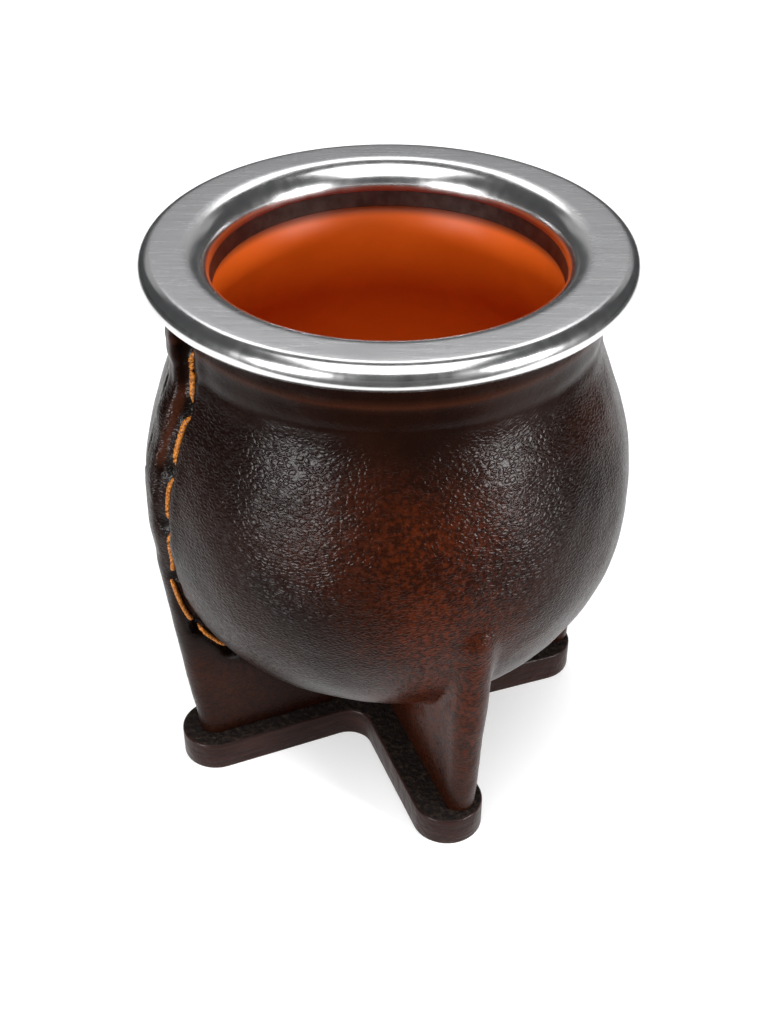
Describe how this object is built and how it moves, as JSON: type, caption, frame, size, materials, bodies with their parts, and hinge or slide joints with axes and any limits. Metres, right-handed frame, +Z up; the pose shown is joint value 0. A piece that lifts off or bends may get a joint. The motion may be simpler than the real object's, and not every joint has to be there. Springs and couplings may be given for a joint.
{
  "type": "leather-wrapped ceramic mate cup",
  "caption": "Empty round ceramic cup in a stitched brown leather wrap with legs on a cross-shaped leather sole, under a thick brushed steel rim.",
  "frame": {"origin": "on the table, under the middle of the round belly and the rim", "axes": "+Z up along the cup's axis, -Y towards the viewer, with the seam on the -X side"},
  "size_m": [0.0948, 0.0948, 0.1123],
  "materials": {
    "sole_leather": "dark burnished edge, rough top",
    "wrap_leather": "waxed dark brown, fine creased grain, satin",
    "cup_glaze": "smooth satin orange glaze",
    "rim_steel": "brushed flat top, polished edges",
    "waxed_thread": "waxed yellow-orange thread"
  },
  "bodies": {
    "root": {"sole": "sole_leather", "wrap": "wrap_leather", "legs": "wrap_leather", "cup": "cup_glaze", "rim": "rim_steel", "thread": "waxed_thread"}
  },
  "joints": []
}
